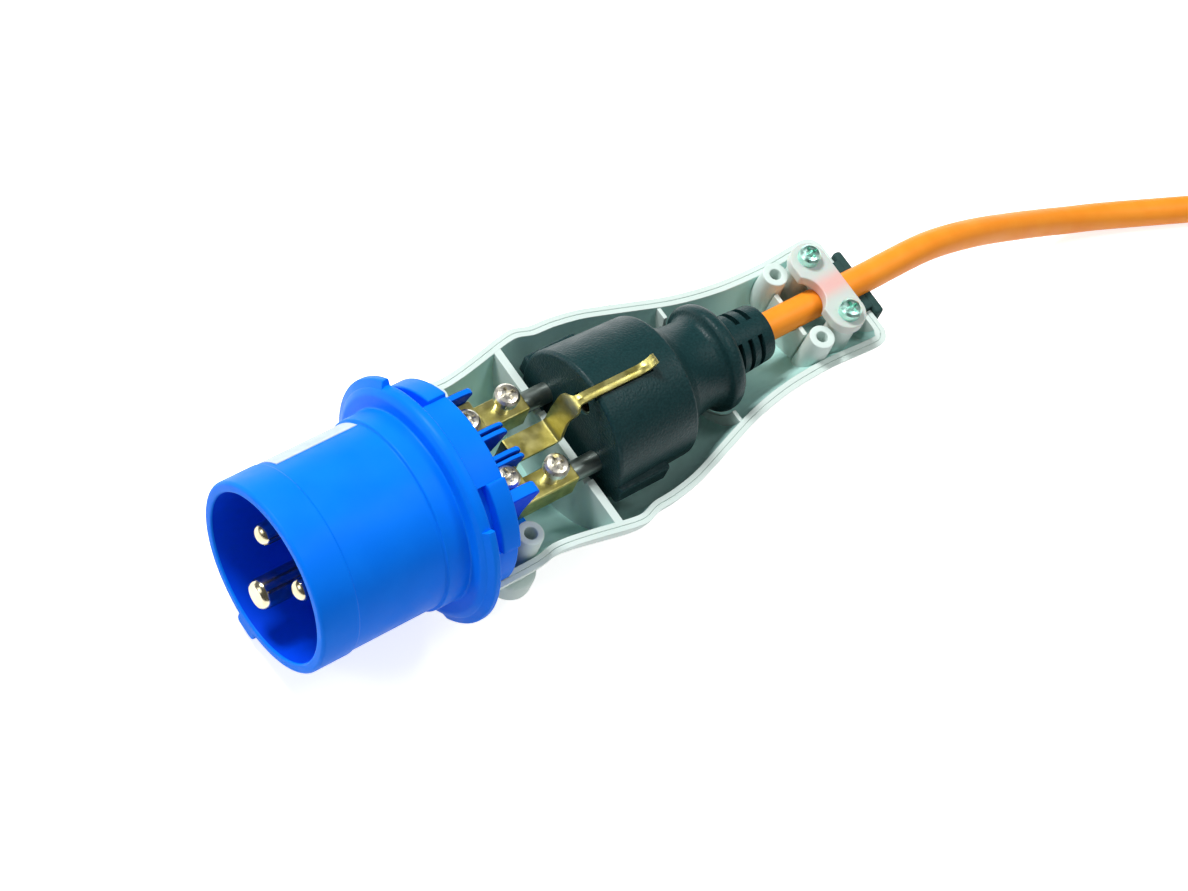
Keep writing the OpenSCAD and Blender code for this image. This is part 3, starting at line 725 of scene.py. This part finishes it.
for side in (-1, 1):
    housing_shells.append(boss(BOSS_X, side * BOSS_Y, -15.2, BOSS_TOP, 3, 1.45))
    housing_shells.append(boss(REAR_BOSS_X, side * 9.1, -12.2, BOSS_TOP, 3, 1.35))
    housing_shells.append(boss(CLAMP_X, side * 7.9, -12.6, 2.4, 3.2, 1.2))
    housing_shells.append(block((REAR_BOSS_X, side * 8.5 - 0.6, -12), (CLAMP_X, side * 8.5 + 0.6, -4)))
    lug = [(-20, 0), (-20, 5.3), (-14.5, 5.3), (-14.5, 0)]
    housing_shells.append(upright(soft_outline(lug, 0.6), BOSS_X, side * BOSS_Y))
piece(housing_shells, "grey_lower_housing", [grey, grey_inside_dull_painted_shade], "grey_plastic", "lower_housing")

# %% [markdown]
# ## Seal and clamp
# The seal is a rubber block that slides into the end wall and closes it around the cord. The clamp is a
# moulded strap with round ends and a hollow front. It starts as a circle whose halves are pulled apart, and
# a round cutter takes the hollow out of its front edge.

# %% Seal
seal_shells = [block((157.4, -6.7, -10.4), (159.7, 6.7, -1.8), 0.5, 3),
               block((159.2, -6.8, -10.4), (162.3, 6.8, -1.9), 0.2),
               block((162, -8.9, -12), (164.4, 8.9, -1.8), 0.9, 4)]
piece(seal_shells, "rubber_seal", [rubber], "black_rubber", "rear_seal")

# %% Clamp
CLAMP_LOW, CLAMP_H, CLAMP_R, CLAMP_REACH = 2.4, 2.8, 4.6, 7.3
HOLLOW_X, HOLLOW_R = -7.2, 5.2
strap = bmesh.new()
half_step = Matrix.Rotation(math.pi / 48, 4, "Z")
bmesh.ops.create_circle(strap, cap_ends=True, segments=48, radius=CLAMP_R, matrix=half_step)
far_end = [v for v in strap.verts if v.co.y > 0]
near_end = [v for v in strap.verts if v.co.y < 0]
bmesh.ops.translate(strap, vec=(0, CLAMP_REACH, 0), verts=far_end)
bmesh.ops.translate(strap, vec=(0, -CLAMP_REACH, 0), verts=near_end)
grown = bmesh.ops.extrude_face_region(strap, geom=strap.faces[:], use_keep_orig=True)["geom"]
raised = [g for g in grown if isinstance(g, bmesh.types.BMVert)]
bmesh.ops.translate(strap, vec=(0, 0, CLAMP_H), verts=raised)
bmesh.ops.recalc_face_normals(strap, faces=strap.faces)
hollow = upright([(-2, 0), (-2, HOLLOW_R), (8, HOLLOW_R), (8, 0)], HOLLOW_X, 0, 64)
strap = carve(strap, hollow)
bmesh.ops.remove_doubles(strap, verts=strap.verts, dist=0.02)
round_edges(strap, 0.6, 3, 45)
lips = block((CLAMP_X - 1.5, -5.2, -0.6), (CLAMP_X + 4.4, 5.2, 4), 0.7, 3)
moved(strap, CLAMP_X, 0, CLAMP_LOW)
piece([strap, lips], "milky_cord_clamp", [milky], "milky_plastic", "cord_clamp")

# %% [markdown]
# ## Mains plug
# The black plug is one soft moulding: a slightly tapered front, a waist to grip, a collar and a strain
# relief. The front and the collar are one spin. The strain relief is a second one, with rows of faces where
# its slots are. Those faces are pushed in towards the cord, which gives slots with real depth.

# %% Mains plug
MAINS_X, MAINS_R = 80.1, 17.7
CHANNEL_BACK, CHANNEL_FLOOR = 95.4, 15.5
mains = [(MAINS_X, 0), (MAINS_X, MAINS_R - 0.6), (MAINS_X + 0.6, MAINS_R), (102.2, MAINS_R - 0.95),
         (102.7, 16.2), (103.2, 15.2), (104.4, 13.7), (106.5, 12), (109, 10.9), (112, 10.4), (114.8, 10.4),
         (115.8, 10.9), (116.2, 11.7), (116.4, 12.2), (116.9, 12.65), (117.6, 12.75), (118.8, 12.6),
         (119.6, 12.1), (120.1, 11.2), (120.2, 7.5), (120.2, 0)]
earth_hole = rod(79, 94, 0, 10, 2.7, 0.1)
upper_channel = block((79, -3, CHANNEL_FLOOR), (CHANNEL_BACK, -0.2, 25), 0)
lower_channel = block((79, 0.2, -25), (CHANNEL_BACK, 3, -CHANNEL_FLOOR), 0)
mains_body = carve(turned(soft_outline(mains, 0.4), steps=128), earth_hole, upper_channel, lower_channel)
mains_shells = [moved(mains_body, 0, 0, MAINS_Z)]
for side in (-1, 1):
    mains_shells.append(block((MAINS_X + 0.2, side * 17 - 1.9, MAINS_Z - 4.5),
                              (MAINS_X + 14, side * 17 + 1.9, MAINS_Z + 0.9), 0.6, 3))
print("mains plug shells:", len(mains_shells))

# %% Strain relief
SLOT_W, SLOT_FLOOR = 1.3, 0.7
# Slot middle, and first and last angle of the slot
SLOTS = [(x, a, a + 80) for x in (123, 126, 129) for a in (25, 205)]
SLOTS += [(x, a, a + 50) for x in (125.6, 128.8) for a in (120, 300)]


def relief_r(x):
    """Radius of the tapered strain relief."""
    return 7.5 - (x - 120.2) * 0.8 / 12


rows = sorted({x + side * SLOT_W / 2 for x, _, _ in SLOTS for side in (-1, 1)})
relief_line = [(119.6, 0), (119.6, 7.5)] + [(x, relief_r(x)) for x in rows]
relief_line += [(132.2, 6.7), (132.8, 6.4), (133, 6), (133, 0)]
relief = turned(relief_line, steps=72)
for slot_x, first, last in SLOTS:
    chosen = []
    for face in relief.faces:
        middle = face.calc_center_median()
        angle = math.degrees(math.atan2(middle.y, -middle.z)) % 360
        if abs(middle.x - slot_x) < SLOT_W / 2 and first < angle < last and abs(face.normal.x) < 0.5:
            chosen.append(face)
    grown = bmesh.ops.extrude_face_region(relief, geom=chosen)["geom"]
    floor = [g for g in grown if isinstance(g, bmesh.types.BMVert)]
    bmesh.ops.scale(relief, vec=(1, SLOT_FLOOR, SLOT_FLOOR), verts=floor)
    bmesh.ops.delete(relief, geom=[f for f in chosen if f.is_valid], context="FACES_ONLY")
mains_shells.append(moved(relief, 0, 0, MAINS_Z))
piece(mains_shells, "black_mains_plug", [black], "black_rubber", "inner_plug_body")

# %% [markdown]
# The plug's earth clips are strips of plated steel that lie in a channel above and below. The tongue
# presses on the upper one.

# %% Earth clips
clip_line = [(80.4, CHANNEL_FLOOR), (80.4, 16.7), (81, 17.1), (95, 16.6), (95, CHANNEL_FLOOR)]
clip_shells = []
for side in (-1, 1):
    clip_shells.append(plate([(x, MAINS_Z - side * r) for x, r in clip_line], side * 1.5, 2, 0.15))
piece(clip_shells, "earth_clips_steel", [grey_steel], "nickel", "inner_plug_earth_clips")

# %% [markdown]
# ## Measured nodes that stay
# The screws, the mains plug's pins and earth socket, and the far socket already have the right shape, so
# they keep their measured meshes and only get their finishes.

# %% Finishes on measured nodes
KEPT = {"front_terminal_screws": bright_steel, "rear_terminal_screws": bright_steel, "clamp_screws": zinc,
        "inner_plug_line_pin": grey_steel, "inner_plug_neutral_pin": grey_steel,
        "inner_plug_earth_socket": nickel, "socket_body": black, "socket_insert": hard_black,
        "socket_contacts": brass, "socket_earth_clips": nickel}
for name, material in KEPT.items():
    for place in nodes[name].material_slots:
        place.material = material
print("measured nodes with a finish:", len(KEPT))

# %% [markdown]
# ## Tie
# A short woven tape holds the folded cord together. It is a thin sheet laid over the cord in a soft curve.
# The cord lies on the table there, so the tape is open underneath.

# %% Tie
TIE_X, TIE_WIDTH, TIE_THICK = 283.5, 10, 1.0
TIE_OVER = [(-32.2, 0), (-32.2, 7), (-31.9, 14.4), (-29.4, 19.8), (-24.4, 21.4), (-19.4, 19.8),
            (-16.9, 14.4), (-16.6, 7), (-16.6, 0)]
tie_across = [TIE_X + TIE_WIDTH * (k / 4 - 0.5) for k in range(5)]
tie_rows = [[(x, p.x, p.y) for x in tie_across] for p in smooth_line(TIE_OVER, 4)]
tie_sheet = thick_sheet(tie_rows, TIE_THICK, lambda f: f.calc_center_median().z)
piece([round_edges(tie_sheet, 0.3, 2, 50)], "woven_tie", [tape], "tie_fabric", "cord_tie", place=TABLE)

# %% [markdown]
# ## Cord route
# The cord is one length of 1.5 m. It leaves the black plug's strain relief, runs straight under the clamp
# and through the seal, sags to the table and runs out of the picture. What the photograph doesn't show is
# folded there into a flat hank of long turns, and the last run lies on top of it and ends in an in-line
# socket. A curve with a round bevel gives a cord of even thickness.

# %% Cord route
CORD_D = 6.8
LEAD = [(50.8, 0, 25.5), (66, 0, 25.5), (82, 0, 25.5), (92, 0.2, 25.4), (102, 0.4, 24.5), (112, 0.1, 22),
        (122, -0.4, 18.4), (132, -1.2, 14.4), (142, -2.2, 10.4), (152, -3.6, 6.8), (162, -5.7, 4.5),
        (172, -8.9, 3.5), (182, -12.7, 3.4), (194, -17.3, 3.4), (206, -21.4, 3.4), (216, -24.2, 3.4),
        (225, -26.1, 3.4), (236, -27.4, 3.4)]
TAIL = [(304, -24.4, 17), (318, -23.6, 17.1), (330, -20.6, 17.9), (341, -15.4, 19.8), (351, -10.4, 21.5),
        (360, -8, 22), (366, -8, 22)]
HANK_X, HANK_RUN, HANK_IN, HANK_OUT = 248, 71, 21, 27.8


def hank_turns():
    """Points along the hank: outer turn, inner turn, then one layer up the inner and the outer turn."""
    turns = [(HANK_OUT, 3.4), (HANK_IN, 3.4), (HANK_IN, 10.2), (HANK_OUT, 10.2)]
    following = turns[1:] + [((HANK_IN + HANK_OUT) / 2, 17.0)]
    line = []
    for (r, z), (next_r, next_z) in zip(turns, following):
        line += [Vector((HANK_X + HANK_RUN * k / 8, -r, z)) for k in range(8)]
        for k in range(16):
            a = math.radians(-90 + 180 * k / 16)
            line.append(Vector((HANK_X + HANK_RUN + r * math.cos(a), r * math.sin(a), z)))
        line += [Vector((HANK_X + HANK_RUN * (1 - k / 8), r, z)) for k in range(8)]
        for k in range(16):
            a = math.radians(90 + 180 * k / 16)
            share = 0.5 - 0.5 * math.cos(math.pi * k / 16)
            q = r + (next_r - r) * share
            line.append(Vector((HANK_X + q * math.cos(a), q * math.sin(a), z + (next_z - z) * share)))
    line += [Vector((HANK_X + HANK_RUN * k / 8, TAIL[0][1], 17.0)) for k in range(7)]
    return line


cord_line = smooth_line(LEAD, 3) + hank_turns() + smooth_line(TAIL, 4)
cord_length = sum((b - a).length for a, b in zip(cord_line, cord_line[1:])) * MM
print("cord points:", len(cord_line), "length:", round(cord_length, 3), "m")

# %% [markdown]
# The jacket is orange PVC, extruded smooth with a soft sheen. The eye sees a clean warm orange with a
# slightly uneven gloss along its length.

# %% Cord
jacket, jacket_shader = finish("orange_pvc_jacket", IOR=1.52, Specular_IOR_Level=0.3)
clouded(jacket, jacket_shader, 6.0, "#FD9420", "#FF9C2A")
grained(jacket, jacket_shader, 0.7, 0.03, 0.1)
glossed(jacket, jacket_shader, 5.0, 0.38, 0.52)
cord_curve = bpy.data.curves.new("orange_cord", "CURVE")
cord_curve.dimensions = "3D"
cord_curve.bevel_depth = CORD_D / 2 * MM
cord_curve.bevel_resolution = 6
cord_curve.use_fill_caps = True
spline = cord_curve.splines.new("POLY")
spline.points.add(len(cord_line) - 1)
for point, place in zip(spline.points, cord_line):
    point.co = (*(place * MM), 1.0)
spline.use_smooth = True
cord = bpy.data.objects.new("orange_cord", cord_curve)
bpy.context.scene.collection.objects.link(cord)
cord_curve.materials.append(jacket)
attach(cord, "root")
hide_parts("cord_lead", "cord_hank", "cord_tail")
print("cord made")

# %% [markdown]
# ## Table and light
# The photograph has a plain white background. The table is a pale matt sheet that keeps a soft shadow. To
# the camera and in reflections it also glows, so that it reads as white. The key lamp stands high on the
# far side. Three weak lamps light the inside from above, the mouth, and the near side. The sky is white,
# but dimmer in reflections, so that metal keeps the dark parts that it has in a studio. Under brighter
# surroundings the metal looks brighter.

# %% Table
TABLE_GLOW = 0.7
scene = bpy.context.scene
scene.view_settings.view_transform = "Standard"
table_mesh = bpy.data.meshes.new("table")
table_bm = bmesh.new()
bmesh.ops.create_grid(table_bm, x_segments=1, y_segments=1, size=3.0)
table_bm.to_mesh(table_mesh)
table_bm.free()
table = bpy.data.objects.new("table", table_mesh)
scene.collection.objects.link(table)
table_finish = bpy.data.materials.new("white_table")
table_finish.use_nodes = True
table_finish.node_tree.nodes.clear()
path = node(table_finish, "ShaderNodeLightPath")
through = node(table_finish, "ShaderNodeMath", {"operation": "MAXIMUM"},
               {0: path.outputs["Is Camera Ray"], 1: path.outputs["Is Transmission Ray"]})
seen = node(table_finish, "ShaderNodeMath", {"operation": "MAXIMUM"},
            {0: through.outputs[0], 1: path.outputs["Is Glossy Ray"]})
matt = node(table_finish, "ShaderNodeBsdfDiffuse", None, {"Color": tone("#F2F2F2")})
glow = node(table_finish, "ShaderNodeEmission", None, {"Color": (1, 1, 1, 1), "Strength": TABLE_GLOW})
both = node(table_finish, "ShaderNodeAddShader", None, {0: matt.outputs[0], 1: glow.outputs[0]})
shown = node(table_finish, "ShaderNodeMixShader", None,
             {"Fac": seen.outputs[0], 1: matt.outputs[0], 2: both.outputs[0]})
node(table_finish, "ShaderNodeOutputMaterial", None, {"Surface": shown.outputs[0]})
table_mesh.materials.append(table_finish)
print("table made")

# %% Light
SKY, SKY_IN_REFLECTIONS = 0.32, 0.1
AIM = (0, 0, 0.02)
world = bpy.data.worlds.new("white_room")
scene.world = world
world.use_nodes = True
sky = world.node_tree.nodes["Background"]
sky.inputs["Color"].default_value = (1, 1, 1, 1)
sky_path = node(world, "ShaderNodeLightPath")
sky_level = node(world, "ShaderNodeMapRange", None,
                 {"Value": sky_path.outputs["Is Glossy Ray"], "To Min": SKY, "To Max": SKY_IN_REFLECTIONS})
drive(world, sky_level.outputs["Result"], sky, "Strength")


def soft_lamp(name, place, aim, size, power):
    """A square area lamp that looks at a point, with its size in metres and its power in watts."""
    data = bpy.data.lights.new(name, "AREA")
    data.size = size
    data.energy = power
    lamp = bpy.data.objects.new(name, data)
    direction = Vector(aim) - Vector(place)
    lamp.matrix_world = Matrix.Translation(place) @ direction.to_track_quat("-Z", "Y").to_matrix().to_4x4()
    scene.collection.objects.link(lamp)
    return lamp


soft_lamp("key_lamp", (-0.2, 0.65, 0.9), AIM, 0.28, 11.2)
soft_lamp("top_lamp", (0.4, -0.12, 0.8), AIM, 0.2, 1.6)
soft_lamp("mouth_lamp", (-0.75, 0.25, 0.42), AIM, 0.12, 0.8)
soft_lamp("fill_lamp", (0.1, -0.8, 0.8), AIM, 0.8, 0.5)
# A white card in front of the mouth lights no matt surface and shows only as a reflection.
mouth_card = soft_lamp("mouth_card", (-0.59, 0.175, 0.36), (0, 0, 0.04), 0.4, 0.7)
mouth_card.visible_diffuse = False
print("light set")

# %% End
print("scene built")
